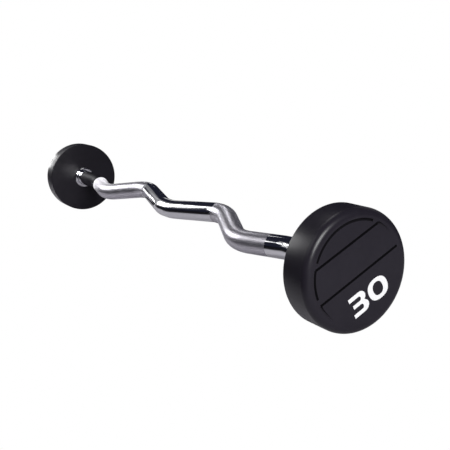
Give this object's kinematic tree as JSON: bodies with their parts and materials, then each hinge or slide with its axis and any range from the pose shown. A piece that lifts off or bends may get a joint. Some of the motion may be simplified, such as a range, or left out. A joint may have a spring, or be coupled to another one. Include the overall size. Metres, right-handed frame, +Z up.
{
  "type": "fixed barbell",
  "caption": "Fixed-weight barbell: a chromed curl bar bent in a wave, with knurled grips and a thick black urethane disc head at each end.",
  "frame": {"origin": "on the surface that the barbell lies on, under its middle: the bottom centre of its bounding box", "axes": "+X along the bar towards the right head, +Z up, +Y to the back, the side that the bar's two crests point to, 22.5 degrees above level"},
  "size_m": [0.9524, 0.1414, 0.1413],
  "materials": {
    "chrome": "bright chrome plating, knurled on the two grips",
    "urethane": "moulded black urethane, satin",
    "steel": "plain turned steel",
    "zinc": "zinc-plated steel"
  },
  "bodies": {
    "root": {"bar": "chrome", "collar_right": "chrome", "collar_left": "chrome", "jacket_right": "urethane", "jacket_left": "urethane", "core_right": "steel", "core_left": "steel", "core_plug_right": "steel", "core_plug_left": "steel", "key_pin_right": "steel", "key_pin_left": "steel", "washer_right": "zinc", "washer_left": "zinc", "bolt_right": "zinc", "bolt_left": "zinc"}
  },
  "joints": []
}
